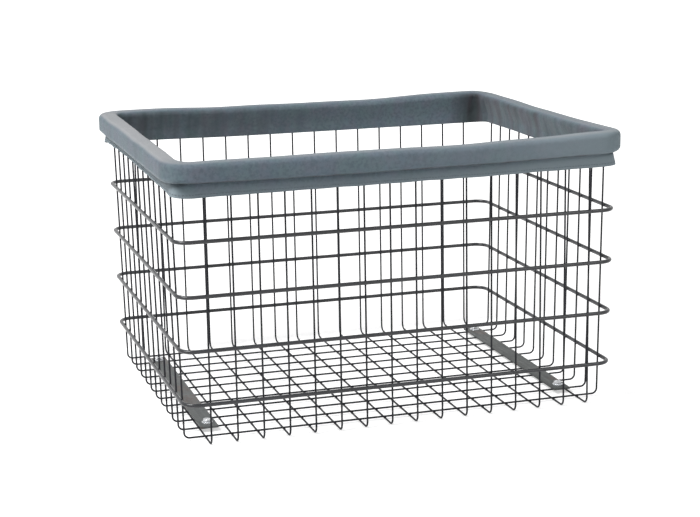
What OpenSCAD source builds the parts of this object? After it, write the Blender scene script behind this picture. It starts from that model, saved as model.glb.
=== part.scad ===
/* [Wire grid] */
// Diameter of the upright and floor wires
wire_d = 2.7; // [2.2:0.1:3.2]
// Number of wires that run up the front, across the floor and up the back
cross_count = 16; // [12:1:18]
// Spacing of the front-to-back wires along the length
cross_pitch = 38.1; // [34:0.1:42]
// Number of wires that run up the left end, across the floor and up the right end
long_count = 12; // [8:1:14]
// Spacing of the end-to-end wires across the width
long_pitch = 40.4; // [36:0.1:44]
// From the outermost front-to-back wire to the end wall, at the floor
end_gap = 31.6; // [30:0.1:40]
// From the outermost end-to-end wire to the front or back wall
side_gap = 34.8; // [32:0.1:42]
// How far the two end walls lean outward, in degrees
end_lean = 1.07; // [0:0.01:2]
// Bend radius at the foot of the front and back walls, to the wire's middle
cross_bend_r = 10; // [6:0.5:14]
// Bend radius at the foot of the end walls, to the wire's middle
long_bend_r = 8; // [6:0.5:14]
// How much a wire swells in a bend, on the radius
bend_swell = 0.02; // [0.02:0.01:0.06]
// Gap left for the weld where two wires touch
weld_gap = 0.05; // [0.02:0.01:0.1]

/* [Ring wires] */
// Diameter of the heavier wires that go round the basket
ring_d = 5.7; // [4:0.1:7]
// Number of them
ring_count = 4; // [3:1:4]
// Height of the lowest one, to its middle
ring_first_z = 62; // [50:1:70]
// Spacing of the rings up the walls
ring_step = 77; // [65:1:82]
// Corner radius of the rings, to their middle
ring_corner_r = 22; // [15:0.5:28]

/* [Top frame] */
// Diameter of the rod that the wires' top ends are welded to
frame_d = 7.9; // [6:0.1:9]
// Height of the rod, to its middle
frame_z = 386; // [380:1:390]

/* [Rim bumper] */
// Thickness of the padding over the tops of the wires
pad_over = 12.25; // [8:0.25:16]
// Thickness of the padding outside the rod
pad_out = 5.9; // [4:0.1:10]
// Thickness of the padding inside the wires, at the roll's fullest
pad_in = 6.8; // [5:0.1:10]
// From the rod's middle down to the sewn groove
seam_drop = 14; // [10:0.5:18]
// Corner radius of the rim, to the wires' middle
rim_corner_r = 25; // [22:0.5:30]
// Rounding of the roll's upper edges
roll_top_r = 8; // [6:0.5:9]
// Rounding of the roll's lower outer edge
roll_low_r = 6.5; // [4:0.5:8]
// Slope of the roll's inner side towards the wires, in degrees
inner_slope = 17; // [12:0.5:20]
// Thickness of the cover
cover_t = 1.2; // [0.8:0.1:1.6]
// Length of the outer skirt below the sewn groove
skirt_drop = 16; // [8:0.5:20]
// Length of the inner flap below the sewn groove
flap_drop = 14; // [8:0.5:20]
// How far the skirt stands out at its lower edge
skirt_flare = 3; // [0:0.5:6]
// Clearance of the padding and the cover round the wires and the rod
soft_clearance = 0.3; // [0.2:0.05:0.4]

/* [Mounting bars] */
// Width of the flat bars on the floor
bar_w = 25.4; // [20:0.1:27]
// Thickness of the bars
bar_t = 3.2; // [2:0.1:5]
// From the outermost front-to-back wire to the middle of the bar
bar_inset = 11.75; // [10:0.05:18]
// How far a bar runs past the second end-to-end wire
bar_overhang = 12; // [6:0.5:18]
// From the second end-to-end wire in to the middle of the bolt
bolt_inset = 6; // [5:0.5:12]
// Clearance of the bolt in the bar and in the washer, on the radius
bolt_clearance = 0.4; // [0.2:0.05:0.6]

/* [Bolts] */
// Outer diameter of the bolt's thread
bolt_d = 6.35; // [6:0.05:7]
// Diameter of the shank between the head and the thread
shank_d = 5.5; // [4.5:0.1:5.5]
// Chamfer at the bolt's end
bolt_chamfer = 0.5; // [0.3:0.1:0.8]
// Width of the head across its flats
head_flats = 11.1; // [9:0.1:13]
// Height of the head
head_h = 4; // [3:0.1:6]
// Outer diameter of the washer
washer_d = 15.9; // [13:0.1:18]
// Thickness of the washer
washer_t = 1.65; // [1:0.05:2.5]
// Height of the bolt's end above the surface that the basket stands on
bolt_end_z = 0.4; // [0.2:0.1:1]

/* [Hidden] */
function numbered(stem, count) = [for (k = [1 : count]) str(stem, k < 10 ? "0" : "", k)];
cross_names = numbered("cross_wire_", cross_count);
long_names = numbered("long_wire_", long_count);
ring_names = numbered("ring_wire_", ring_count);
$fn = 32;

wire_r = wire_d/2;
bend_lap = 0.3;
cross_reach = (cross_count - 1)/2*cross_pitch;
long_reach = (long_count - 1)/2*long_pitch;
half_l = cross_reach + end_gap;
half_w = long_reach + side_gap;
cross_z = wire_r + bend_swell;
long_z = cross_z + wire_d + weld_gap;
wire_top_z = frame_z + frame_d/2;
frame_out = wire_r + weld_gap + frame_d/2;

// Places across the rim's section, measured from the wires' middle
seam_z = frame_z - seam_drop;
lean_drift = (seam_drop + flap_drop)*tan(end_lean);
slot_in = wire_r + soft_clearance + lean_drift;
slot_out = wire_r + soft_clearance;
flap_x = slot_in + cover_t;
skirt_x = slot_out + cover_t;
pocket_out = frame_out + frame_d/2 + soft_clearance;
pocket_top = wire_top_z + soft_clearance;
pad_inset = cover_t + soft_clearance;
rim_outer = pocket_out + pad_out + pad_inset;
rim_inner = slot_in + pad_in + pad_inset;
rim_top_z = pocket_top + pad_over + pad_inset;
pad_lip = 1.5;

bar_z = long_z + wire_r + weld_gap;
bar_x = cross_reach - bar_inset;
bar_half = long_reach - long_pitch + bar_overhang;
bolt_y = long_reach - long_pitch - bolt_inset;
washer_z = bar_z + bar_t + weld_gap;
head_z = washer_z + washer_t + weld_gap;
thread_top_z = bar_z - 0.1;

// Half the length between the end walls at a height, to the wires' middle
function end_wall(z) = half_l + z*tan(end_lean);

function arc_points(x, z, r, from, to, steps = 6) =
    [for (k = [0 : steps]) let (a = from + (to - from)*k/steps) [x + r*cos(a), z + r*sin(a)]];

// A wire's half: floor run, bend and upright, from the middle of the floor run outward along +X.
// The straight stretches reach a little way into the bend.
module wire_half(foot, z, bend_r, lean) {
    rise_z = bend_r*(1 - sin(lean));
    bend_x = foot + (z + rise_z)*tan(lean) - bend_r*cos(lean);
    rotate([0, 90, 0]) cylinder(d = wire_d, h = bend_x + bend_lap);
    translate([bend_x, 0, bend_r]) {
        rotate([90, 0, 0]) rotate_extrude(angle = 90 - lean, start = -90)
            translate([bend_r, 0]) circle(d = wire_d + 2*bend_swell);
        rotate([0, lean, 0]) translate([bend_r, 0, -bend_lap])
            cylinder(d = wire_d, h = bend_lap + (wire_top_z - z - rise_z)/cos(lean));
    }
}

module bent_wire(foot, z, bend_r, lean) {
    translate([0, 0, z]) {
        wire_half(foot, z, bend_r, lean);
        mirror([1, 0, 0]) wire_half(foot, z, bend_r, lean);
    }
}

// Carries a section, drawn with X outward, round a rectangle with rounded corners
module loop_of_section(half_x, half_y, corner_r) {
    for (s = [0, 1]) {
        mirror([0, s, 0]) translate([0, half_y, 0]) rotate([90, 0, 90])
            linear_extrude(2*(half_x - corner_r), center = true) children();
        mirror([s, 0, 0]) translate([half_x, 0, 0]) rotate([90, 0, 0])
            linear_extrude(2*(half_y - corner_r), center = true) children();
        for (t = [0, 1]) mirror([s, 0, 0]) mirror([0, t, 0])
            translate([half_x - corner_r, half_y - corner_r, 0])
            rotate_extrude(angle = 90) translate([corner_r, 0]) children();
    }
}

module cross_wire(k) {
    color("#34363a") translate([(k - 1)*cross_pitch - cross_reach, 0, 0]) rotate([0, 0, 90])
        bent_wire(half_w, cross_z, cross_bend_r, 0);
}

module long_wire(k) {
    color("#34363a") translate([0, (k - 1)*long_pitch - long_reach, 0])
        bent_wire(half_l, long_z, long_bend_r, end_lean);
}

module ring_wire(k) {
    z = ring_first_z + (k - 1)*ring_step;
    out = wire_r + weld_gap + ring_d/2;
    color("#3b3d41") translate([0, 0, z])
        loop_of_section(end_wall(z) + out, half_w + out, ring_corner_r) circle(d = ring_d);
}

module top_frame() {
    color("#3b3d41") translate([0, 0, frame_z])
        loop_of_section(end_wall(frame_z) + frame_out, half_w + frame_out, rim_corner_r + frame_out)
        circle(d = frame_d);
}

// Where the roll's sloping inner side, set in by t, comes to the distance x inside the wires
function slope_z(x, t) =
    let (cx = roll_top_r - rim_inner, cz = rim_top_z - roll_top_r, r = roll_top_r - t)
    cz - r*sin(inner_slope) - (r*cos(inner_slope) - cx - x)/tan(inner_slope);

// The roll's outline set in by t, from the lower outer edge over the top to the inner slope
function roll_points(t) = concat(
    arc_points(rim_outer - roll_low_r, seam_z + roll_low_r, roll_low_r - t, -90, 0),
    arc_points(rim_outer - roll_top_r, rim_top_z - roll_top_r, roll_top_r - t, 0, 90),
    arc_points(roll_top_r - rim_inner, rim_top_z - roll_top_r, roll_top_r - t, 90, 180 + inner_slope));

module rim_loop() {
    loop_of_section(end_wall(frame_z), half_w, rim_corner_r) children();
}

// Foam roll with a pocket from below for the rod and the wires' top ends
module bumper_pad() {
    lip_x = slot_in + pad_lip;
    color("#c9c3ae") rim_loop() polygon(concat(
        [[pocket_out, seam_z + pad_inset]],
        roll_points(pad_inset),
        [[-lip_x, slope_z(lip_x, pad_inset)], [-slot_in, slope_z(lip_x, pad_inset)],
         [-slot_in, pocket_top], [pocket_out, pocket_top]]));
}

// Cover: round the roll, then a skirt outside the wires and a flap inside them
module bumper_cover() {
    skirt_z = seam_z - skirt_drop;
    flap_z = seam_z - flap_drop;
    inside = roll_points(cover_t);
    color("#68747f") rim_loop() polygon(concat(
        [[skirt_x + skirt_flare, skirt_z], [skirt_x, seam_z]],
        roll_points(0),
        [[-flap_x, slope_z(flap_x, 0)], [-flap_x, flap_z], [-slot_in, flap_z],
         [-slot_in, slope_z(slot_in, cover_t)]],
        [for (i = [len(inside) - 1 : -1 : 0]) inside[i]],
        [[slot_out, seam_z + cover_t], [slot_out, seam_z], [slot_out + skirt_flare, skirt_z]]));
}

module mounting_bar(side) {
    color("#6b6a66") translate([side*bar_x, 0, bar_z]) difference() {
        translate([-bar_w/2, -bar_half, 0]) cube([bar_w, 2*bar_half, bar_t]);
        for (end = [-1, 1]) translate([0, end*bolt_y, -1])
            cylinder(d = bolt_d + 2*bolt_clearance, h = bar_t + 2);
    }
}

module at_bolts() {
    for (side = [-1, 1]) for (end = [-1, 1]) translate([side*bar_x, end*bolt_y, 0]) children();
}

// Hex bolt: chamfered head, a shank through the washer and the bar, and below them the thread's
// cylinder with a chamfered end
module bolt() {
    corner_d = head_flats/cos(30);
    translate([0, 0, head_z]) intersection() {
        cylinder(d = corner_d, h = head_h, $fn = 6);
        cylinder(d1 = corner_d + 2*head_h, d2 = head_flats*0.92, h = head_h);
    }
    translate([0, 0, bolt_end_z]) {
        cylinder(d1 = bolt_d - 2*bolt_chamfer, d2 = bolt_d, h = bolt_chamfer);
        translate([0, 0, bolt_chamfer]) cylinder(d = bolt_d, h = thread_top_z - bolt_end_z - bolt_chamfer);
    }
    translate([0, 0, thread_top_z]) cylinder(d = shank_d, h = head_z - thread_top_z);
}

module bolts() {
    color("#d6d9dc") at_bolts() bolt();
}

module washers() {
    color("#cfd2d5") at_bolts() translate([0, 0, washer_z]) difference() {
        cylinder(d = washer_d, h = washer_t);
        translate([0, 0, -1]) cylinder(d = bolt_d + 2*bolt_clearance, h = washer_t + 2);
    }
}

for (k = [1 : cross_count]) cross_wire(k);
for (k = [1 : long_count]) long_wire(k);
for (k = [1 : ring_count]) ring_wire(k);
top_frame();
bumper_pad();
bumper_cover();
mounting_bar(-1);  // mounting_bar_left
mounting_bar(1);  // mounting_bar_right
bolts();
washers();
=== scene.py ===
import math

import bmesh
import bpy
import numpy as np
from mathutils import Matrix, Vector


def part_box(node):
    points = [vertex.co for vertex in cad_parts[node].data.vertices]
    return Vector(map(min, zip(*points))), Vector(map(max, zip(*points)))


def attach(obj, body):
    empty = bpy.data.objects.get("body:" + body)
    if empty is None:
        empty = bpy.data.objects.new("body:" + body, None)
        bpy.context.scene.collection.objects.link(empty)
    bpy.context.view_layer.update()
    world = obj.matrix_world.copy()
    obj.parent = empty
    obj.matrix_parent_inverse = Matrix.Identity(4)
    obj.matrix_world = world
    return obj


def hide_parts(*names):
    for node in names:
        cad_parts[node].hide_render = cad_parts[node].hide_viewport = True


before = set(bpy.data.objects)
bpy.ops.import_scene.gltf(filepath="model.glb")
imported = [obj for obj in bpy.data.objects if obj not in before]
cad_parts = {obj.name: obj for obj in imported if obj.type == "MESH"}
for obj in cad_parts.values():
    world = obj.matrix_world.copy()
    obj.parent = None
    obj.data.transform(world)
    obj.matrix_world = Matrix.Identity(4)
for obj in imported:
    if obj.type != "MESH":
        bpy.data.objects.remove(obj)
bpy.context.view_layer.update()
print("frame loaded,", len(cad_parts), "nodes")

scene = bpy.context.scene
mm = 0.001

# where the wire grid in the photograph puts the camera: metres and radians
cameraSet = {
    "place": (-0.7862, -2.5676, 0.7859),
    "yaw": 0.29690,
    "pitch": 0.21753,
    "roll": -0.01714,
    "lens": 90.87,
    "sensor": 36.0,
}


def makeCamera(s):
    yaw, pitch, roll = s["yaw"], s["pitch"], s["roll"]
    ahead = Vector((math.sin(yaw) * math.cos(pitch), math.cos(yaw) * math.cos(pitch), -math.sin(pitch)))
    level = Vector((math.cos(yaw), -math.sin(yaw), 0.0))
    rise = level.cross(ahead)
    right = math.cos(roll) * level + math.sin(roll) * rise
    up = math.cos(roll) * rise - math.sin(roll) * level
    data = bpy.data.cameras.new("camera")
    data.sensor_width = s["sensor"]
    data.lens = s["lens"]
    data.clip_start, data.clip_end = 0.05, 90.0
    camera = bpy.data.objects.new("camera", data)
    turn = Matrix((right, up, -ahead)).transposed().to_4x4()
    camera.matrix_world = Matrix.Translation(Vector(s["place"])) @ turn
    scene.collection.objects.link(camera)
    scene.camera = camera


makeCamera(cameraSet)
print("camera placed")


# a socket that takes +, -, * and /: each adds a Math node to its tree
class Link:
    def __init__(self, bench, socket):
        self.bench, self.socket = bench, socket

    def maths(self, operation, a, b):
        return self.bench.add("ShaderNodeMath", {"operation": operation}, {0: a, 1: b})

    def __add__(self, other):
        return self.maths("ADD", self, other)

    def __radd__(self, other):
        return self.maths("ADD", other, self)

    def __sub__(self, other):
        return self.maths("SUBTRACT", self, other)

    def __rsub__(self, other):
        return self.maths("SUBTRACT", other, self)

    def __mul__(self, other):
        return self.maths("MULTIPLY", self, other)

    def __rmul__(self, other):
        return self.maths("MULTIPLY", other, self)

    def __truediv__(self, other):
        return self.maths("DIVIDE", self, other)

    def most(self, other):
        return self.maths("MAXIMUM", self, other)

    def least(self, other):
        return self.maths("MINIMUM", self, other)

    def other(self, name):
        return Link(self.bench, self.socket.node.outputs[name])


# one node tree: add() makes any node from its type, its settings and its inputs
class Bench:
    def __init__(self, tree):
        self.tree = tree

    def put(self, socket, value):
        if isinstance(value, Link):
            self.tree.links.new(value.socket, socket)
        else:
            socket.default_value = value

    def add(self, kind, settings=None, inputs=None, out=0):
        node = self.tree.nodes.new(kind)
        for name, value in (settings or {}).items():
            if name == "stops":
                self.setStops(node.color_ramp, value)
            else:
                setattr(node, name, value)
        for name, value in (inputs or {}).items():
            self.put(node.inputs[name], value)
        return Link(self, node.outputs[out])

    def setStops(self, ramp, stops):
        while len(ramp.elements) < len(stops):
            ramp.elements.new(0.5)
        for element, (place, colour) in zip(ramp.elements, stops):
            element.position = place
            element.color = colour


# a material: one Principled shader, fed with noises, mixes and bumps
class Finish(Bench):
    def __init__(self, name):
        self.material = bpy.data.materials.new(name)
        self.material.use_nodes = True
        super().__init__(self.material.node_tree)
        self.tree.nodes.clear()
        self.surface = self.tree.nodes.new("ShaderNodeBsdfPrincipled")
        end = self.tree.nodes.new("ShaderNodeOutputMaterial")
        self.tree.links.new(self.surface.outputs[0], end.inputs["Surface"])
        self.place = self.add("ShaderNodeTexCoord", out="Object")

    def set(self, name, value):
        self.put(self.surface.inputs[name], value)

    def noise(self, scale, detail=3.0, roughness=0.55, at=None):
        inputs = {"Vector": at or self.place, "Scale": scale, "Detail": detail, "Roughness": roughness}
        return self.add("ShaderNodeTexNoise", None, inputs, "Fac")

    def spread(self, value, low, high, to=(0.0, 1.0)):
        inputs = {"Value": value, "From Min": low, "From Max": high, "To Min": to[0], "To Max": to[1]}
        return self.add("ShaderNodeMapRange", None, inputs, "Result")

    def mix(self, factor, a, b):
        colours = [c if isinstance(c, Link) else (*c, 1.0) for c in (a, b)]
        return self.add("ShaderNodeMix", {"data_type": "RGBA"}, {0: factor, 6: colours[0], 7: colours[1]}, 2)

    def bump(self, height, strength, distance, under=None):
        inputs = {"Height": height, "Strength": strength, "Distance": distance}
        if under:
            inputs["Normal"] = under
        return self.add("ShaderNodeBump", None, inputs, "Normal")


def wireCoat(name, s):
    b = Finish(name)
    cloud = b.noise(s["cloudScale"], 2.0)
    grain = b.noise(s["grainScale"], 4.0, 0.6)
    scuff = b.spread(b.noise(s["scuffScale"], 5.0, 0.7), 0.60, 0.72)
    tone = b.mix(b.spread(cloud, 0.35, 0.65), s["dark"], s["light"])
    b.set("Base Color", b.mix(scuff * s["scuff"], tone, s["scuffTone"]))
    b.set("Roughness", b.spread(grain, 0.3, 0.7, s["roughness"]))
    b.set("Metallic", s["metallic"])
    b.set("Specular IOR Level", s["specular"])
    b.set("Normal", b.bump(grain, s["bump"], s["bumpDepth"]))
    return b.material


def clothCover(name, s):
    b = Finish(name)
    uv = b.add("ShaderNodeUVMap", {"uv_map": "rimMap"}, None, "UV")
    # the rim's painted light and shade: red is the lit and worn top, green is painted shade, blue is painted light
    paintedLightAndShade = b.add("ShaderNodeAttribute", {"attribute_name": "rimTone"}, None, "Color")
    topLitAndWornShare = b.add("ShaderNodeSeparateColor", None, {0: paintedLightAndShade}, "Red")
    dark, paintedLight = topLitAndWornShare.other("Green"), topLitAndWornShare.other("Blue")
    cloud = b.noise(s["cloudScale"], 3.0)
    mottle = b.noise(s["mottleScale"], 4.0, 0.6)
    fine = b.noise(s["fineScale"], 3.0, 0.7)
    along = b.add("ShaderNodeSeparateXYZ", None, {0: uv}, "X")
    across = along.other("Y")
    turns = 2 * math.pi / s["thread"]
    warp = b.add("ShaderNodeMath", {"operation": "SINE"}, {0: along * turns + fine * 2.0})
    weft = b.add("ShaderNodeMath", {"operation": "SINE"}, {0: across * turns + fine * 2.0})
    weave = warp * weft * 0.5 + 0.5
    tone = b.mix(b.spread(cloud, 0.35, 0.65), s["dark"], s["light"])
    tone = b.mix(b.spread(mottle, 0.36, 0.64) * s["mottle"], tone, s["mottleTone"])
    tone = b.mix(b.spread(b.noise(s["hueScale"], 2.0), 0.42, 0.62) * s["hue"], tone, s["hueTone"])
    tone = b.mix(b.spread(b.noise(s["suedeScale"], 2.0), 0.42, 0.66) * s["suede"], tone, s["suedeTone"])
    # painted light: the cover made lighter where light falls on it
    tone = b.mix(paintedLight, tone, s["paintedLightTone"])
    # painted shade: dark is the rim's painted shade share, broken into upright streaks
    upright = b.add("ShaderNodeCombineXYZ", None, {"X": along, "Y": across * 0.2})
    streaks = b.spread(b.noise(s["streakScale"], 2.0, at=upright), 0.36, 0.64, (0.62, 1.25))
    shade = b.mix(b.spread(b.noise(s["hueScale"], 2.0, at=upright), 0.42, 0.58), s["paintedShadeTone"], s["paintedShadeHue"])
    tone = b.mix((dark * streaks).least(1.0), tone, shade)
    # the lit and worn top: painted highlight where light falls, and a worn edge
    tone = b.mix(topLitAndWornShare * b.spread(cloud, 0.3, 0.7, (0.85, 1.0)), tone, s["topLitAndWornTone"])
    tone = b.mix(weave * s["weaveTone"], tone, s["dark"])
    b.set("Base Color", tone)
    b.set("Roughness", b.spread(mottle, 0.3, 0.7, s["roughness"]))
    b.set("Sheen Weight", s["sheen"])
    b.set("Sheen Roughness", 0.4)
    b.set("Specular IOR Level", s["specular"])
    creases = b.bump(b.noise(s["creaseScale"], 4.0, 0.6), s["crease"], 0.0012)
    b.set("Normal", b.bump(weave, s["weaveBump"], 0.0002, creases))
    return b.material


def foamFinish(name, s):
    b = Finish(name)
    cells = b.add("ShaderNodeTexVoronoi", None, {"Vector": b.place, "Scale": s["cells"]}, "Distance")
    b.set("Base Color", b.mix(b.spread(cells, 0.0, 0.7), s["dark"], s["light"]))
    b.set("Roughness", 0.95)
    b.set("Normal", b.bump(cells, 0.6, 0.0006))
    return b.material


def barPaint(name, s):
    b = Finish(name)
    cloud = b.noise(s["cloudScale"], 4.0, 0.6)
    pits = b.noise(s["pitScale"], 6.0, 0.7)
    rust = b.spread(pits, 0.46, 0.60) * b.spread(b.noise(s["patchScale"], 2.0), 0.50, 0.62)
    tone = b.mix(b.spread(cloud, 0.3, 0.7), s["dark"], s["light"])
    b.set("Base Color", b.mix(rust * s["rust"], tone, s["rustTone"]))
    b.set("Roughness", b.spread(pits, 0.3, 0.7, s["roughness"]))
    b.set("Metallic", s["metallic"])
    b.set("Normal", b.bump(pits, s["bump"], 0.0003))
    return b.material


def zincPlate(name, s):
    b = Finish(name)
    spangle = b.noise(s["spangleScale"], 2.0)
    fine = b.noise(s["fineScale"], 4.0, 0.7)
    b.set("Base Color", b.mix(b.spread(spangle, 0.35, 0.65), s["dark"], s["light"]))
    b.set("Metallic", 1.0)
    b.set("Roughness", b.spread(fine, 0.3, 0.7, s["roughness"]))
    b.set("Normal", b.bump(fine, 0.15, 0.0002))
    return b.material


def threadFinish(name, s):
    b = Finish(name)
    inputs = {"Vector": b.place, "Scale": s["ply"]}
    ply = b.add("ShaderNodeTexWave", {"bands_direction": "DIAGONAL"}, inputs, "Fac")
    b.set("Base Color", b.mix(ply, s["dark"], s["light"]))
    b.set("Roughness", 0.7)
    b.set("Normal", b.bump(ply, 0.3, 0.0001))
    return b.material


wireLook = {
    "dark": (0.020, 0.021, 0.025), "light": (0.032, 0.033, 0.038),
    "scuffTone": (0.12, 0.12, 0.13), "scuff": 0.18, "scuffScale": 90.0,
    "cloudScale": 14.0, "grainScale": 900.0, "roughness": (0.42, 0.58),
    "metallic": 0.0, "specular": 0.12, "bump": 0.12, "bumpDepth": 0.0002,
}
ringLook = dict(wireLook, dark=(0.016, 0.017, 0.020), light=(0.030, 0.032, 0.037),
                roughness=(0.20, 0.30), specular=0.5, scuff=0.3)
# painted light and shade on the cover: lighter where light falls on it, the top most of all, its inner side least
# and in painted shade
coverLook = {
    "dark": (0.104, 0.144, 0.178), "light": (0.138, 0.185, 0.227),
    "mottleTone": (0.188, 0.186, 0.228), "mottle": 0.55, "hueTone": (0.132, 0.200, 0.208), "hue": 0.60,
    "paintedLightTone": (0.265, 0.320, 0.350), "paintedShadeTone": (0.058, 0.050, 0.056), "paintedShadeHue": (0.040, 0.056, 0.056), "topLitAndWornTone": (0.310, 0.314, 0.322),
    "suedeTone": (0.085, 0.115, 0.140), "suede": 0.55, "suedeScale": 210.0,
    "cloudScale": 9.0, "mottleScale": 55.0, "hueScale": 32.0, "streakScale": 50.0,
    "fineScale": 700.0, "creaseScale": 45.0,
    "thread": 0.0011, "weaveTone": 0.22, "weaveBump": 0.30, "crease": 0.35,
    "roughness": (0.70, 0.85), "sheen": 0.15, "specular": 0.25,
}
foamLook = {"cells": 900.0, "dark": (0.35, 0.31, 0.20), "light": (0.62, 0.57, 0.42)}
barLook = {
    "dark": (0.060, 0.065, 0.064), "light": (0.095, 0.102, 0.100),
    "rustTone": (0.150, 0.088, 0.070), "rust": 0.65, "patchScale": 17.0,
    "cloudScale": 25.0, "pitScale": 220.0, "roughness": (0.45, 0.7),
    "metallic": 0.15, "bump": 0.35,
}
# the left bar is painted lighter than the right one: a lit copy of the same paint, painted light
leftBarLitLook = dict(barLook, dark=(0.076, 0.084, 0.085), light=(0.130, 0.136, 0.134))
zincLook = {
    "dark": (0.62, 0.64, 0.66), "light": (0.83, 0.84, 0.86),
    "spangleScale": 260.0, "fineScale": 1500.0, "roughness": (0.16, 0.34),
}
threadLook = {"ply": 600.0, "dark": (0.10, 0.12, 0.15), "light": (0.17, 0.20, 0.23)}

wireMat = wireCoat("wireCoat", wireLook)
ringMat = wireCoat("ringCoat", ringLook)
coverMat = clothCover("coverCloth", coverLook)
foamMat = foamFinish("foam", foamLook)
barMat = barPaint("barPaint", barLook)
leftBarLitMat = barPaint("leftBarPaint", leftBarLitLook)
zincMat = zincPlate("zincPlate", zincLook)
threadMat = threadFinish("sewingThread", threadLook)

nodeFinish = {"cross": wireMat, "long": wireMat, "ring": ringMat, "top": ringMat,
              "mounting": barMat, "bolts": zincMat, "washers": zincMat,
              "bumper": foamMat}
for name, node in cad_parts.items():
    node.data.materials.clear()
    # the left bar gets the lit copy of the bar paint: painted light
    node.data.materials.append(leftBarLitMat if name == "mounting_bar_left" else nodeFinish[name.split("_")[0]])
print("finishes made")


# a Geometry Nodes tree with named inputs; run() turns its result into a plain mesh
class Loom(Bench):
    def __init__(self, name, inputs):
        tree = bpy.data.node_groups.new(name, "GeometryNodeTree")
        super().__init__(tree)
        tree.interface.new_socket("Geometry", in_out="INPUT", socket_type="NodeSocketGeometry")
        for label, kind in inputs.items():
            tree.interface.new_socket(label, in_out="INPUT", socket_type="NodeSocket" + kind)
        tree.interface.new_socket("Material", in_out="INPUT", socket_type="NodeSocketMaterial")
        tree.interface.new_socket("Geometry", in_out="OUTPUT", socket_type="NodeSocketGeometry")
        self.start = tree.nodes.new("NodeGroupInput")
        self.end = tree.nodes.new("NodeGroupOutput")

    def given(self, label):
        return Link(self, self.start.outputs[label])

    def finish(self, geometry):
        plain = self.add("GeometryNodeRealizeInstances", None, {0: geometry})
        inputs = {"Geometry": plain, "Material": self.given("Material")}
        self.put(self.end.inputs[0], self.add("GeometryNodeSetMaterial", None, inputs))

    def run(self, name, mesh, values):
        piece = bpy.data.objects.new(name, mesh)
        scene.collection.objects.link(piece)
        modifier = piece.modifiers.new("loom", "NODES")
        modifier.node_group = self.tree
        for item in self.tree.interface.items_tree:
            if item.in_out == "INPUT" and item.name in values:
                modifier[item.identifier] = values[item.name]
        made = bpy.data.meshes.new_from_object(piece.evaluated_get(bpy.context.evaluated_depsgraph_get()))
        piece.modifiers.remove(modifier)
        piece.data = made
        return piece


def pointMesh(name, points, closed=False):
    mesh = bpy.data.meshes.new(name)
    count = len(points)
    edges = [(i, (i + 1) % count) for i in range(count)] if closed else []
    mesh.from_pydata([tuple(p) for p in points], edges, [])
    return mesh


def ridesRoot(piece, slot, *nodes):
    if nodes:
        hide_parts(*nodes)
    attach(piece, "root")
    return piece


# sets one shape out on given points, each turned about Z by its own share of Spin
def makeSetOutLoom():
    loom = Loom("setOut", {"Shape": "Object", "Spin": "Float", "Seed": "Int"})
    shape = loom.add("GeometryNodeObjectInfo", None, {"Object": loom.given("Shape")}, "Geometry")
    turn = loom.add("FunctionNodeRandomValue", {"data_type": "FLOAT"}, {"Seed": loom.given("Seed")}, 1)
    loom.put(turn.socket.node.inputs[3], loom.given("Spin"))
    angles = loom.add("ShaderNodeCombineXYZ", None, {"Z": turn})
    inputs = {"Points": loom.given("Geometry"), "Instance": shape, "Rotation": angles}
    loom.finish(loom.add("GeometryNodeInstanceOnPoints", None, inputs))
    return loom


setOutLoom = makeSetOutLoom()


def setOut(name, shapeMesh, points, material, spin=0.0, seed=1):
    shape = bpy.data.objects.new(name + "Shape", shapeMesh)
    scene.collection.objects.link(shape)
    values = {"Shape": shape, "Spin": spin, "Seed": seed, "Material": material}
    piece = setOutLoom.run(name, pointMesh(name, points), values)
    bpy.data.objects.remove(shape)
    return piece


def smooth(mesh, angle=math.radians(35)):
    mesh.polygons.foreach_set("use_smooth", [True] * len(mesh.polygons))
    mesh.set_sharp_from_angle(angle=angle)


# the wire grid's own measures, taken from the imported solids
def gridMeasures():
    crossLow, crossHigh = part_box("cross_wire_01")
    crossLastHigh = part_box("cross_wire_16")[1]
    longLow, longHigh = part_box("long_wire_01")
    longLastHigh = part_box("long_wire_12")[1]
    wireR = (crossHigh.x - crossLow.x) / 2
    crossReach = crossLastHigh.x - wireR
    longReach = longLastHigh.y - wireR
    return {
        "wireR": wireR,
        "crossX": np.linspace(-crossReach, crossReach, 16),
        "longY": np.linspace(-longReach, longReach, 12),
        "wallX": longHigh.x - wireR,
        "wallY": crossHigh.y - wireR,
        "floorZ": (longLow.z + wireR + crossLow.z + wireR) / 2,
        "topZ": longHigh.z,
    }


grid = gridMeasures()

# coating and metal pooled where two wires are welded: radii along the wires and across the joint
weldSet = {"floor": (1.9, 1.0), "wall": (2.3, 1.3), "rounds": 10, "rings": 6, "lean": 1.07}


def nugget(name, radii, s):
    mesh = bpy.data.meshes.new(name)
    bm = bmesh.new()
    bmesh.ops.create_uvsphere(bm, u_segments=s["rounds"], v_segments=s["rings"], radius=mm)
    bmesh.ops.scale(bm, vec=Vector(radii), verts=bm.verts)
    bm.to_mesh(mesh)
    bm.free()
    smooth(mesh)
    return mesh


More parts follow.
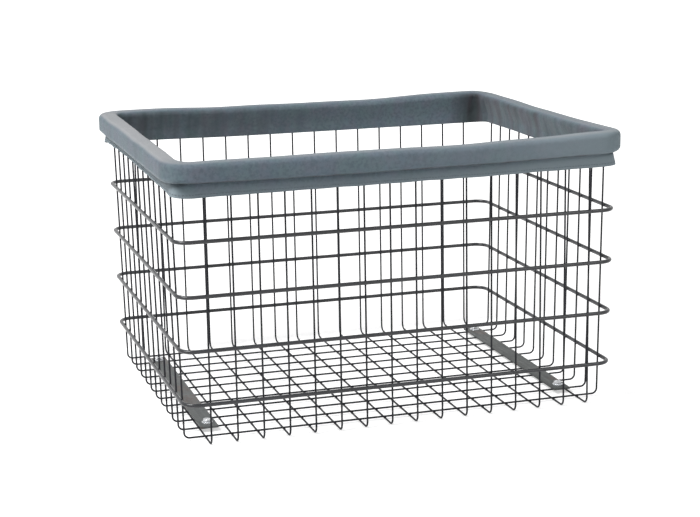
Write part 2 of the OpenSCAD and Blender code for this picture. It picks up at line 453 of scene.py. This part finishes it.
def makeWelds(s):
    flat, deep = s["floor"]
    floorPoints = [(x, y, grid["floorZ"]) for x in grid["crossX"] for y in grid["longY"]]
    floorWelds = setOut("floorWelds", nugget("floorNugget", (flat, flat, deep), s), floorPoints, wireMat)
    ridesRoot(floorWelds, "coated_wire")
    flat, deep = s["wall"]
    ringZ = []
    for k in range(1, 5):
        low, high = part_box(f"ring_wire_{k:02d}")
        ringZ.append((low.z + high.z) / 2)
    frontY = grid["wallY"] + grid["wireR"]
    sidePoints = [(x, side * frontY, z) for x in grid["crossX"] for side in (-1, 1) for z in ringZ]
    sideWelds = setOut("sideWelds", nugget("sideNugget", (flat, deep, flat), s), sidePoints, ringMat)
    ridesRoot(sideWelds, "ring_wire")
    drift = math.tan(math.radians(s["lean"]))
    endPoints = []
    for z in ringZ:
        x = grid["wallX"] - (grid["topZ"] - z) * drift + grid["wireR"]
        endPoints += [(side * x, y, z) for y in grid["longY"] for side in (-1, 1)]
    endWelds = setOut("endWelds", nugget("endNugget", (deep, flat, flat), s), endPoints, ringMat)
    ridesRoot(endWelds, "ring_wire")


makeWelds(weldSet)
print("welds made")

# the padded rim: its section in millimetres, measured out from the wires' middle and up from the floor
rimSet = {
    "cornerR": 25.0, "coverThick": 1.2, "foamInset": 1.5,
    "topR": 8.0, "lowR": 6.5, "slope": 17.0, "inner": 10.47,
    "seamZ": 372.0, "skirtZ": 356.0, "flapZ": 358.0,
    "skirtIn": 1.65, "flapIn": 2.17, "flare": 3.0,
    "step": 3.0, "rows": 2.6,
}
coverLow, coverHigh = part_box("bumper_cover")
rimHalf = (grid["wallX"], grid["wallY"])
rimOuter = (coverHigh.y - grid["wallY"]) / mm
rimTop = coverHigh.z / mm


def arc(x, z, r, start, end, steps):
    angles = [math.radians(start + (end - start) * k / steps) for k in range(steps + 1)]
    return [(x + r * math.cos(a), z + r * math.sin(a)) for a in angles]


# the roll's outline set in by t, from its lower outer edge over the top to the inner slope
def rollOutline(s, t):
    topZ = rimTop - s["topR"]
    points = arc(rimOuter - s["lowR"], s["seamZ"] + s["lowR"], s["lowR"] - t, -90, 0, 7)
    points += arc(rimOuter - s["topR"], topZ, s["topR"] - t, 0, 90, 8)
    return points + arc(s["topR"] - s["inner"], topZ, s["topR"] - t, 90, 180 + s["slope"], 9)


# the height where the sloping inner side, set in by t, is x inside the wires
def slopeHeight(s, x, t):
    lean, r = math.radians(s["slope"]), s["topR"] - t
    return (rimTop - s["topR"] - r * math.sin(lean)
            - (r * math.cos(lean) - (s["topR"] - s["inner"]) - x) / math.tan(lean))


def coverSection(s):
    t = s["coverThick"]
    skirt, flap = s["skirtIn"], s["flapIn"]
    points = [(skirt + t + s["flare"], s["skirtZ"]), (skirt + t, s["seamZ"])]
    points += rollOutline(s, 0)
    points += [(-flap - t, slopeHeight(s, flap + t, 0)), (-flap - t, s["flapZ"]), (-flap, s["flapZ"])]
    points += [(-flap, slopeHeight(s, flap, t))] + rollOutline(s, t)[::-1]
    points += [(skirt, s["seamZ"] + t), (skirt, s["seamZ"]), (skirt + s["flare"], s["skirtZ"])]
    return points


def foamSection(s):
    t, flap = s["foamInset"], s["flapIn"]
    lip = flap + 1.5
    pocketTop = grid["topZ"] / mm + 0.3
    points = rollOutline(s, t)
    points += [(-lip, slopeHeight(s, lip, t)), (-flap, slopeHeight(s, lip, t)), (-flap, pocketTop)]
    return points + [(9.6, pocketTop), (9.6, s["seamZ"] + t)]


# cuts each edge of a closed outline into pieces no longer than the step
def divided(points, step):
    out = []
    for a, b in zip(points, points[1:] + points[:1]):
        count = max(1, math.ceil(math.dist(a, b) / step))
        out += [(a[0] + (b[0] - a[0]) * k / count, a[1] + (b[1] - a[1]) * k / count) for k in range(count)]
    return out


# carries a section round a rectangle with round corners
def makeRimLoom():
    loom = Loom("rimLoom", {"Length": "Float", "Width": "Float", "Corner": "Float", "Step": "Float"})
    inputs = {"Width": loom.given("Length"), "Height": loom.given("Width")}
    oblong = loom.add("GeometryNodeCurvePrimitiveQuadrilateral", {"mode": "RECTANGLE"}, inputs)
    inputs = {"Curve": oblong, "Radius": loom.given("Corner"), "Count": 24}
    rounded = loom.add("GeometryNodeFilletCurve", {"mode": "POLY"}, inputs)
    inputs = {"Curve": rounded, "Length": loom.given("Step")}
    path = loom.add("GeometryNodeResampleCurve", {"mode": "LENGTH"}, inputs)
    section = loom.add("GeometryNodeMeshToCurve", None, {"Mesh": loom.given("Geometry")})
    loom.finish(loom.add("GeometryNodeCurveToMesh", None, {"Curve": path, "Profile Curve": section}))
    return loom


rimLoom = makeRimLoom()


def sweepRim(name, section, s, material):
    outline = divided(section, s["rows"])
    mesh = pointMesh(name, [(x * mm, -z * mm, 0) for x, z in outline], closed=True)
    values = {"Length": 2 * rimHalf[0], "Width": 2 * rimHalf[1], "Corner": s["cornerR"] * mm,
              "Step": s["step"] * mm, "Material": material}
    return rimLoom.run(name, mesh, values)


def corners(mesh):
    co = np.empty(len(mesh.vertices) * 3)
    mesh.vertices.foreach_get("co", co)
    return co.reshape(-1, 3)


# where points lie on the rim: the way along it, out from the wires' middle, and which way is out
def onRim(co):
    cornerR = rimSet["cornerR"] * mm
    reach = (rimHalf[0] - cornerR, rimHalf[1] - cornerR)
    px = np.clip(co[:, 0], -reach[0], reach[0])
    py = np.clip(co[:, 1], -reach[1], reach[1])
    dx, dy = co[:, 0] - px, co[:, 1] - py
    far = np.hypot(dx, dy)
    angle = np.arctan2(dy, dx) % (2 * math.pi)
    along = cornerR * angle
    quarter = math.pi / 2
    along += np.where(angle <= 0, py + reach[1], 2 * reach[1])
    along += np.where(angle > 0, reach[0] - np.where(angle <= quarter, px, -reach[0]), 0)
    along += np.where(angle > quarter, reach[1] - np.where(angle <= 2 * quarter, py, -reach[1]), 0)
    along += np.where(angle > 2 * quarter, reach[0] + np.where(angle <= 3 * quarter, px, reach[0]), 0)
    return {"along": along, "out": far - cornerR, "turn": angle,
            "way": np.stack((dx, dy), 1) / np.maximum(far, 1e-9)[:, None]}


rimRound = 4 * (rimHalf[0] + rimHalf[1]) - (8 - 2 * math.pi) * rimSet["cornerR"] * mm


def ease(value, low, high):
    t = np.clip((value - low) / (high - low), 0, 1)
    return t * t * (3 - 2 * t)


# waves that close on themselves round the rim: their lengths are drawn between two limits, in metres
def waves(along, height, shortest, longest, seed, count=9, slant=0.6):
    draw = np.random.default_rng(seed)
    total = np.zeros_like(along)
    for _ in range(count):
        length = draw.uniform(shortest, longest)
        turns = round(rimRound / length)
        phase = 2 * math.pi * (turns * along / rimRound + draw.uniform(-slant, slant) * height / length)
        total += np.sin(phase + draw.uniform(0, 2 * math.pi))
    return total / math.sqrt(count)


# how the cover really lies, in millimetres, and where light and shade are painted into its colour, in shares. A list
# of four goes with each side, anticlockwise from the front right corner: right, back, left, front
sagSet = {
    "rise": ((5.5, 2.5, 1.1, 1.8), (4.8, 1.5, 2.4, 6.8), (5.5, 3.5, 2.0, 1.0), (2.0, 2.3, 0.3, 5.5)),
    "topRise": ((-1.2, -1.2, -0.3, -0.8), (0.2, -1.6, -1.4, -2.4), (-1.0, -0.5, 0.0, 0.4), (-3.4, -2.9, -1.7, -1.1)),
    "seamRise": ((1.6, 0.0, 0.0, 0.0), (0.0, 0.0, 0.0, 0.0), (0.0, 0.0, 1.0, 1.8), (0.9, -1.0, 1.9, -0.6)),
    "hemRise": ((-4.0, -2.5, -2.0, -1.0), (0.0, 0.0, 0.0, -4.0), (3.5, 4.8, 2.6, 0.4), (-4.4, -2.2, -2.5, -3.5)),
    "flapRise": ((0.0, 0.0, -0.6, -2.6), (-7.2, -3.7, -4.1, -6.0), (0.0, 0.0, 0.0, 0.0), (0.0, 0.0, 0.0, 0.0)),
    "skirtOut": ((0.0, 0.0, 0.0, 0.0), (0.0, 0.0, 0.0, 3.0), (6.0, 1.8, 1.2, 1.0), (0.5, 0.0, 0.0, 0.0)),
    "rollOut": ((0.0, 0.0, 0.0, 0.0), (0.0, 0.0, 0.0, 1.5), (3.6, 0.8, 0.0, 0.0), (0.0, 0.0, 0.0, 0.0)),
    # the next five rows are shares of the cover's colour: painted light, the lit and worn top, and painted shade
    "paintedLight": ((0.4, 0.1, 0.1, 0.1), (0.1, 0.1, 0.1, 0.0), (0.0, 0.0, 0.0, 0.0), (0.0, 0.03, 0.25, 0.7)),
    "topLitAndWorn": ((0.45, 0.4, 0.35, 0.3), (0.25, 0.2, 0.2, 0.5), (0.9, 1.0, 1.0, 0.9), (0.4, 0.35, 0.35, 0.45)),
    "insidePaintedShade": ((0.60, 0.55, 0.60, 0.65), (0.0, 0.12, 0.42, 0.72), (0.6, 0.5, 0.5, 0.5), (0.5, 0.5, 0.5, 0.4)),
    "outsidePaintedShade": ((0.0, 0.0, 0.0, 0.0), (0.0, 0.0, 0.0, 0.1), (0.18, 0.22, 0.25, 0.25), (0.05, 0.0, 0.0, 0.0)),
    "groovePaintedShade": 0.8, "cornerPaintedShade": 1.0, "skirtPaintedLight": 0.6, "leftUnderPaintedLight": 0.9,
    "roll": 0.45, "rollWave": (0.09, 0.24), "top": 0.35, "dimple": 0.10, "dimpleWave": (0.025, 0.07),
    "pucker": 0.16, "puckerWave": (0.010, 0.020), "puckerReach": 4.0,
    "wireRidge": 0.35, "ridgeWidth": 9.0, "betweenWires": 0.15,
    "flute": 0.30, "fluteWave": (0.04, 0.12), "hem": 0.30, "hemWave": (0.05, 0.16),
    "finUnder": 3.4, "finHem": 4.2, "leftDroops": ((-1, 1.2, 24.0), (1, 6.5, 13.0)), "scallop": 0.5,
    "cornerFold": 1.6, "pinch": 3.2, "pinchWidth": 5.0,
}


# a smooth closed curve through values given at four even places along each side
def roundTheRim(along, sides):
    cornerR = rimSet["cornerR"] * mm
    straights = (2 * (rimHalf[1] - cornerR), 2 * (rimHalf[0] - cornerR)) * 2
    places, at = [], 0.0
    for straight in straights:
        places += [at + straight * k / 3 for k in range(4)]
        at += straight + cornerR * math.pi / 2
    places = np.array(places)
    values = np.array(sides).ravel()
    places = np.concatenate((places[-2:] - rimRound, places, places[:3] + rimRound))
    values = np.concatenate((values[-2:], values, values[:3]))
    before, after = (np.diff(values) / np.diff(places))[:-1], (np.diff(values) / np.diff(places))[1:]
    even = 2 * before * after / np.where(before * after > 0, before + after, 1)
    slopes = np.concatenate(([0], np.where(before * after > 0, even, 0), [0]))
    i = np.clip(np.searchsorted(places, along, "right") - 1, 1, len(places) - 3)
    span = places[i + 1] - places[i]
    t = (along - places[i]) / span
    return ((2 * t ** 3 - 3 * t ** 2 + 1) * values[i] + (t ** 3 - 2 * t ** 2 + t) * span * slopes[i]
            + (3 * t ** 2 - 2 * t ** 3) * values[i + 1] + (t ** 3 - t ** 2) * span * slopes[i + 1])


def nearWire(co, place):
    along = np.where(np.abs(place["way"][:, 0:1]) > 0.5, co[:, 1:2], co[:, 0:1])[:, 0]
    ends = np.abs(place["way"][:, 0]) > 0.5
    gapEnds = np.abs(along[:, None] - grid["longY"][None, :]).min(1)
    gapSides = np.abs(along[:, None] - grid["crossX"][None, :]).min(1)
    return np.where(ends, gapEnds, gapSides) / mm


# moves points of the straight swept rim to where the sewn and sagging one has them
def lieOnRim(co, s):
    place = onRim(co)
    along, out, turn = place["along"], place["out"] / mm, place["turn"]
    height = co[:, 2] / mm
    seamZ, skirtZ = rimSet["seamZ"], rimSet["skirtZ"]
    outer, inner = out > 0, out <= 0
    drop = np.clip((seamZ - height) / (seamZ - skirtZ), 0, 1) * outer
    onRoll = ease(height, seamZ - 0.5, seamZ + 5)
    push, lift = np.zeros_like(out), np.zeros_like(out)

    # the roll: long swells, small dimples and puckers beside the sewn groove
    low, high = s["rollWave"]
    swell = waves(along, co[:, 2], low, high, 3)
    push += s["roll"] * swell * onRoll * np.sign(out) * ease(np.abs(out), 3, 9)
    lift += s["top"] * waves(along, co[:, 2], low, high, 5) * ease(height, rimTop - 14, rimTop - 2)
    low, high = s["dimpleWave"]
    push += s["dimple"] * waves(along, co[:, 2], low, high, 7) * onRoll * np.sign(out)
    low, high = s["puckerWave"]
    bySeam = np.exp(-((height - seamZ - 1.5) / s["puckerReach"]) ** 2) * outer
    push += s["pucker"] * waves(along, co[:, 2], low, high, 11, slant=0.1) * bySeam

    # the inner side: the wires press through it as upright ridges
    gap = nearWire(co, place)
    ridge = np.exp(-(gap / s["ridgeWidth"]) ** 2)
    onBand = ease(height, rimSet["flapZ"] - 4, rimSet["flapZ"] + 2) * (1 - ease(height, 382, 396)) * inner
    strength = 1 + 0.45 * waves(along, co[:, 2], 0.06, 0.2, 13, slant=0.0)
    push -= (s["wireRidge"] * ridge - s["betweenWires"]) * onBand * strength

    # the skirt: flutes, an uneven hem, and corners that stand out as fins
    low, high = s["fluteWave"]
    push += s["flute"] * waves(along, co[:, 2], low, high, 17, slant=0.15) * drop
    low, high = s["hemWave"]
    lift += s["hem"] * waves(along, co[:, 2], low, high, 19, slant=0.0) * drop
    onLeft = ease(-place["way"][:, 0], 0.6, 0.9)
    pitch = grid["longY"][1] - grid["longY"][0]
    lift += s["scallop"] * np.cos(2 * math.pi * (co[:, 1] - grid["longY"][0]) / pitch) * drop * onLeft
    power = 2 + ((s["finUnder"] - 2) * ease(drop, 0.0, 0.18) + (s["finHem"] - s["finUnder"]) * drop)
    bend = turn % (math.pi / 2)
    square = (np.cos(bend) ** power + np.sin(bend) ** power) ** (-1 / power) - 1
    atCorner = (bend > 1e-6) & (bend < math.pi / 2 - 1e-6)
    push += np.where(atCorner & outer, square * (rimSet["cornerR"] + out), 0) * (drop > 0)
    for side, droop, reach in s["leftDroops"]:
        away = np.hypot(co[:, 0] + rimHalf[0] - 0.010, co[:, 1] - side * (rimHalf[1] - 0.010)) / mm
        lift -= droop * np.exp(-(away / reach) ** 2) * drop

    # the inside corners: folds, and one deep pinch beside the back right corner
    folds = np.cos(6 * bend + 0.4) * np.sin(2 * bend) * atCorner * inner
    push += s["cornerFold"] * folds * ease(height, rimSet["flapZ"] + 4, 384) * (1 - ease(height, 390, 399))
    cornerX = rimHalf[0] / mm - rimSet["cornerR"]
    atPinch = np.exp(-((co[:, 0] / mm - cornerX - 1) / s["pinchWidth"]) ** 2) * (co[:, 1] > 0)
    push += s["pinch"] * atPinch * inner * ease(height, 366, 378) * (1 - ease(height, 392, 398))

    # the frame under it isn't quite level, and the cover was pulled on and sewn by hand
    lift += roundTheRim(along, s["rise"])
    lift += roundTheRim(along, s["topRise"]) * ease(height, seamZ + 6, rimTop - 4)
    lift += roundTheRim(along, s["seamRise"]) * outer * (1 - ease(height, seamZ + 2, seamZ + 16))
    lift += roundTheRim(along, s["hemRise"]) * drop
    lift += roundTheRim(along, s["flapRise"]) * inner * (1 - ease(height, rimSet["flapZ"], 385))
    push += roundTheRim(along, s["skirtOut"]) * ease(drop, 0.0, 0.35)
    push += roundTheRim(along, s["rollOut"]) * outer * onRoll

    moved = co.copy()
    moved[:, :2] += place["way"] * (push * mm)[:, None]
    moved[:, 2] += lift * mm
    return moved


def layOnRim(piece, s):
    piece.data.vertices.foreach_set("co", lieOnRim(corners(piece.data), s).ravel())
    piece.data.update()


# metres along the rim and round its section, for the weave
def mapRim(piece, straight, rows):
    mesh = piece.data
    along = onRim(straight)["along"]
    section = straight.reshape(-1, rows, 3)[0]
    steps = np.linalg.norm(np.diff(section, axis=0), axis=1)
    across = np.tile(np.concatenate(([0], np.cumsum(steps))), len(straight) // rows)
    index = np.empty(len(mesh.loops), dtype=np.int64)
    mesh.loops.foreach_get("vertex_index", index)
    uv = np.stack((along[index], across[index]), 1).reshape(-1, 4, 2)
    for axis, whole in ((0, rimRound), (1, across.max() + steps.mean())):
        wraps = (uv[:, :, axis].max(1) - uv[:, :, axis].min(1)) > whole / 2
        low = uv[:, :, axis] < whole / 2
        uv[:, :, axis] += np.where(wraps[:, None] & low, whole, 0)
    layer = mesh.uv_layers.new(name="rimMap")
    layer.data.foreach_set("uv", uv.ravel())


# how far each point is on the lit and worn top, in painted shade and in painted light
def paintRimLightAndShade(piece, straight):
    place = onRim(straight)
    height = straight[:, 2] / mm
    shares = ("topLitAndWorn", "insidePaintedShade", "outsidePaintedShade", "paintedLight")
    tops, insides, outsides, paintedLightShares = [np.clip(roundTheRim(place["along"], sagSet[name]), 0, 1) for name in shares]
    outer = place["out"] > 0
    # the lit and worn top: painted highlight where light falls, and a worn edge
    top = tops * ease(height, rimTop - 1.5 - 3 * tops ** 2, rimTop - 0.3)
    # painted shade in the back right inside corner and on the inner side below the top
    fromCorner = straight[:, 0] / mm - (rimHalf[0] / mm - rimSet["cornerR"])
    corner = sagSet["cornerPaintedShade"] * np.exp(-(fromCorner / 30) ** 2) * (straight[:, 1] > 0)
    inner = np.maximum(insides, corner) * (1 - ease(height, rimTop - 5, rimTop - 0.5))
    onLeft = ease(-place["way"][:, 0], 0.5, 0.95)
    # painted shade in the groove under the roll, faint on the left
    groove = sagSet["groovePaintedShade"] * np.exp(-((height - rimSet["seamZ"] - 0.5) / 1.4) ** 2) * (1 - 0.9 * onLeft)
    dark = np.where(outer, np.maximum(outsides, groove), inner)
    # painted light on the outside, on the skirt under the roll and under the left roll
    paintedLight = (paintedLightShares + sagSet["skirtPaintedLight"] * ease(rimSet["seamZ"] - height, 1, 14)) * outer
    paintedLight += sagSet["leftUnderPaintedLight"] * ease(rimSet["seamZ"] + 9 - height, 0, 7) * onLeft * outer
    colours = np.stack((top, dark, np.clip(paintedLight, 0, 1), np.ones_like(top)), 1)
    layer = piece.data.attributes.new("rimTone", "FLOAT_COLOR", "POINT")
    layer.data.foreach_set("color", colours.ravel())


def facesOut(mesh):
    bm = bmesh.new()
    bm.from_mesh(mesh)
    bmesh.ops.recalc_face_normals(bm, faces=bm.faces)
    bm.to_mesh(mesh)
    bm.free()


def makeRim(s, sag):
    section = coverSection(s)
    cover = sweepRim("rimCover", section, s, coverMat)
    rows = len(divided(section, s["rows"]))
    mapRim(cover, corners(cover.data), rows)
    paintRimLightAndShade(cover, corners(cover.data))
    layOnRim(cover, sag)
    facesOut(cover.data)
    smooth(cover.data, math.radians(50))
    ridesRoot(cover, "cover", "bumper_cover")
    foam = sweepRim("rimFoam", foamSection(s), dict(s, rows=4.0, step=5.0), foamMat)
    layOnRim(foam, sag)
    facesOut(foam.data)
    smooth(foam.data)
    ridesRoot(foam, "foam", "bumper_pad")


makeRim(rimSet, sagSet)
print("rim made")

# stitches: a row in the groove under the roll and one above the skirt's hem, in millimetres
stitchSet = {"pitch": 4.2, "length": 2.9, "thick": 0.34, "rows": [(3.05, 370.6, 0.18), (5.6, 359.4, 0.2)]}


# sets one stitch after another along a rectangle with round corners
def makeStitchLoom():
    loom = Loom("stitchLoom", {"Length": "Float", "Width": "Float", "Corner": "Float",
                               "Pitch": "Float", "Height": "Float"})
    inputs = {"Width": loom.given("Length"), "Height": loom.given("Width")}
    oblong = loom.add("GeometryNodeCurvePrimitiveQuadrilateral", {"mode": "RECTANGLE"}, inputs)
    inputs = {"Curve": oblong, "Radius": loom.given("Corner"), "Count": 24}
    rounded = loom.add("GeometryNodeFilletCurve", {"mode": "POLY"}, inputs)
    inputs = {"Curve": rounded, "Length": loom.given("Pitch")}
    spots = loom.add("GeometryNodeCurveToPoints", {"mode": "LENGTH"}, inputs)
    inputs = {"Points": spots, "Instance": loom.given("Geometry"), "Rotation": spots.other("Rotation")}
    row = loom.add("GeometryNodeInstanceOnPoints", None, inputs)
    rise = loom.add("ShaderNodeCombineXYZ", None, {"Z": loom.given("Height")})
    loom.finish(loom.add("GeometryNodeTransform", None, {"Geometry": row, "Translation": rise}))
    return loom


def makeStitches(s):
    loom = makeStitchLoom()
    for number, (out, height, sink) in enumerate(s["rows"], 1):
        away = (out - sink) * mm
        values = {"Length": 2 * (rimHalf[0] + away), "Width": 2 * (rimHalf[1] + away),
                  "Corner": rimSet["cornerR"] * mm + away, "Pitch": s["pitch"] * mm,
                  "Height": height * mm, "Material": threadMat}
        size = (s["thick"], s["thick"], s["length"] / 2)
        stitch = nugget("stitch", size, {"rounds": 6, "rings": 6})
        row = loom.run(f"stitchRow{number}", stitch, values)
        layOnRim(row, sagSet)
        smooth(row.data, math.radians(80))
        ridesRoot(row, "cover")


makeStitches(stitchSet)
print("stitches made")


# a copy of flat CAD metal with its corners merged and its edges broken
def softEdged(name, slot, width, *nodes):
    bm = bmesh.new()
    for node in nodes:
        bm.from_mesh(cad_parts[node].data)
    bmesh.ops.remove_doubles(bm, verts=bm.verts, dist=1e-6)
    bmesh.ops.dissolve_limit(bm, angle_limit=math.radians(2), verts=bm.verts, edges=bm.edges)
    mesh = bpy.data.meshes.new(name)
    bm.to_mesh(mesh)
    bm.free()
    piece = bpy.data.objects.new(name, mesh)
    scene.collection.objects.link(piece)
    mesh.materials.append(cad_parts[nodes[0]].data.materials[0])
    bevel = piece.modifiers.new("edges", "BEVEL")
    bevel.width = width * mm
    bevel.segments = 2
    bevel.limit_method = "ANGLE"
    bevel.angle_limit = math.radians(40)
    piece.data = bpy.data.meshes.new_from_object(piece.evaluated_get(bpy.context.evaluated_depsgraph_get()))
    piece.modifiers.remove(bevel)
    smooth(piece.data)
    return ridesRoot(piece, slot, *nodes)


softEdged("leftBar", "flat_bar", 0.5, "mounting_bar_left")
softEdged("rightBar", "flat_bar", 0.5, "mounting_bar_right")
softEdged("flatWashers", "zinc", 0.2, "washers")
print("bars and washers made")

# quarter-inch hex bolts with a dimpled head and a real thread, in millimetres
boltSet = {
    "flats": 11.1, "headHeight": 4.0, "bottomZ": 0.4, "underZ": 10.47, "threadR": 3.175, "rootR": 2.55,
    "shankR": 2.75, "threadTopZ": 5.42, "pitch": 1.27, "chamfer": 0.5, "faceR": 5.2, "faceHeight": 0.35, "crownR": 5.3, "dimpleR": 2.6,
    "dimple": 0.7, "round": 48, "perTurn": 8, "seed": 4, "spin": 6.28,
}


def boltMesh(s):
    angles = np.linspace(0, 2 * math.pi, s["round"], endpoint=False)
    sixth = math.pi / 3
    hexR = s["flats"] / 2 / np.cos(angles % sixth - sixth / 2)
    plain = np.ones_like(angles)
    rows = [(s["rootR"] * 0.4 * plain, s["bottomZ"])]
    z = s["bottomZ"]
    while z < s["threadTopZ"]:
        part = (z / s["pitch"] - angles / (2 * math.pi)) % 1
        depth = np.abs(2 * part - 1)
        r = s["rootR"] + (s["threadR"] - s["rootR"]) * np.clip(1.25 * depth, 0, 1)
        limit = s["threadR"] - max(0.0, s["chamfer"] - (z - s["bottomZ"]))
        rows.append((np.minimum(r, limit), z))
        z += s["pitch"] / s["perTurn"]
    under, face = s["underZ"], s["faceHeight"]
    top = under + s["headHeight"]
    rows += [(s["shankR"] * plain, s["threadTopZ"] + 0.1), (s["shankR"] * plain, under), (s["faceR"] * plain, under), (s["faceR"] * plain, under + face),
             (np.minimum(hexR, s["faceR"] + 0.5), under + face), (hexR, under + face + 0.35)]
    for k in range(7):
        z = top - 1.3 + 1.3 * k / 6
        rows.append((np.minimum(hexR, s["crownR"] + (top - z) * 1.5), z))
    rows += [((s["crownR"] - 0.5) * plain, top + 0.08), ((s["dimpleR"] + 0.5) * plain, top + 0.02),
             (s["dimpleR"] * plain, top - 0.25 * s["dimple"]), (0.5 * s["dimpleR"] * plain, top - s["dimple"])]
    co = [(r[j] * math.cos(a), r[j] * math.sin(a), z) for r, z in rows for j, a in enumerate(angles)]
    n, last = s["round"], len(rows) - 1
    faces = [(i * n + j, i * n + (j + 1) % n, (i + 1) * n + (j + 1) % n, (i + 1) * n + j)
             for i in range(last) for j in range(n)]
    faces += [tuple(range(n - 1, -1, -1)), tuple(range(last * n, last * n + n))]
    mesh = bpy.data.meshes.new("bolt")
    mesh.from_pydata([(x * mm, y * mm, z * mm) for x, y, z in co], [], faces)
    facesOut(mesh)
    smooth(mesh, math.radians(28))
    return mesh


def makeBolts(s):
    low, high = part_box("washers")
    washerR = (s["flats"] + 4.8) / 2 * mm
    x, y = high.x - washerR, high.y - washerR
    spots = [(sx * x, sy * y, 0) for sx in (-1, 1) for sy in (-1, 1)]
    bolts = setOut("hexBolts", boltMesh(s), spots, zincMat, s["spin"], s["seed"])
    ridesRoot(bolts, "zinc", "bolts")


makeBolts(boltSet)
print("bolts made")

# floor and light: the floor keeps the shadow, and the camera sees the rest of it white
lightSet = {
    "floorSize": 60.0, "floorTone": 0.82, "cameraGlow": (0.50, 0.90), "glowReach": (0.7, 2.6),
    "skyLevel": 0.36, "keyPlace": (-2.15, -0.5, 3.15), "keySize": 1.5, "keyPower": 134.0,
    "fillPlace": (1.45, -2.35, 1.75), "fillSize": 0.7, "fillPower": 9.0,
}


def makeFloor(s):
    mesh = bpy.data.meshes.new("floor")
    h = s["floorSize"] / 2
    mesh.from_pydata([(-h, -h, 0), (h, -h, 0), (h, h, 0), (-h, h, 0)], [], [(0, 1, 2, 3)])
    floor = bpy.data.objects.new("floor", mesh)
    scene.collection.objects.link(floor)
    b = Finish("floorPaper")
    grain = b.noise(6.0, 3.0)
    low, high = s["floorTone"] - 0.01, s["floorTone"] + 0.01
    b.set("Base Color", b.mix(grain, (low, low, low), (high, high, high)))
    b.set("Roughness", 0.9)
    b.set("Specular IOR Level", 0.0)
    path = b.add("ShaderNodeLightPath", out="Is Camera Ray")
    seen = path.most(path.other("Is Glossy Ray"))
    away = b.add("ShaderNodeVectorMath", {"operation": "LENGTH"}, {0: b.place}, "Value")
    level = seen * b.spread(away, *s["glowReach"], s["cameraGlow"])
    glow = b.add("ShaderNodeEmission", None, {"Color": (1, 1, 1, 1), "Strength": level})
    surface = Link(b, b.surface.outputs[0])
    both = b.add("ShaderNodeAddShader", None, {0: surface, 1: glow})
    end = [n for n in b.tree.nodes if n.bl_idname == "ShaderNodeOutputMaterial"][0]
    b.put(end.inputs["Surface"], both)
    mesh.materials.append(b.material)


def makeLamp(name, place, size, power):
    data = bpy.data.lights.new(name, "AREA")
    data.shape = "DISK"
    data.size = size
    data.energy = power
    lamp = bpy.data.objects.new(name, data)
    lamp.location = place
    lamp.rotation_euler = (Vector((0, 0, 0.2)) - Vector(place)).to_track_quat("-Z", "Y").to_euler()
    scene.collection.objects.link(lamp)


def makeSky(s):
    world = bpy.data.worlds.new("sky")
    world.use_nodes = True
    scene.world = world
    b = Bench(world.node_tree)
    b.tree.nodes.clear()
    path = b.add("ShaderNodeLightPath", out="Is Camera Ray")
    seen = path.most(path.other("Is Glossy Ray")).most(path.other("Is Transmission Ray"))
    level = seen * (1.0 - s["skyLevel"]) + s["skyLevel"]
    sky = b.add("ShaderNodeBackground", None, {"Color": (1, 1, 1, 1), "Strength": level})
    b.put(b.tree.nodes.new("ShaderNodeOutputWorld").inputs["Surface"], sky)


makeFloor(lightSet)
makeSky(lightSet)
makeLamp("key", lightSet["keyPlace"], lightSet["keySize"], lightSet["keyPower"])
makeLamp("fill", lightSet["fillPlace"], lightSet["fillSize"], lightSet["fillPower"])
scene.view_settings.view_transform = "Standard"
print("floor and lights made")
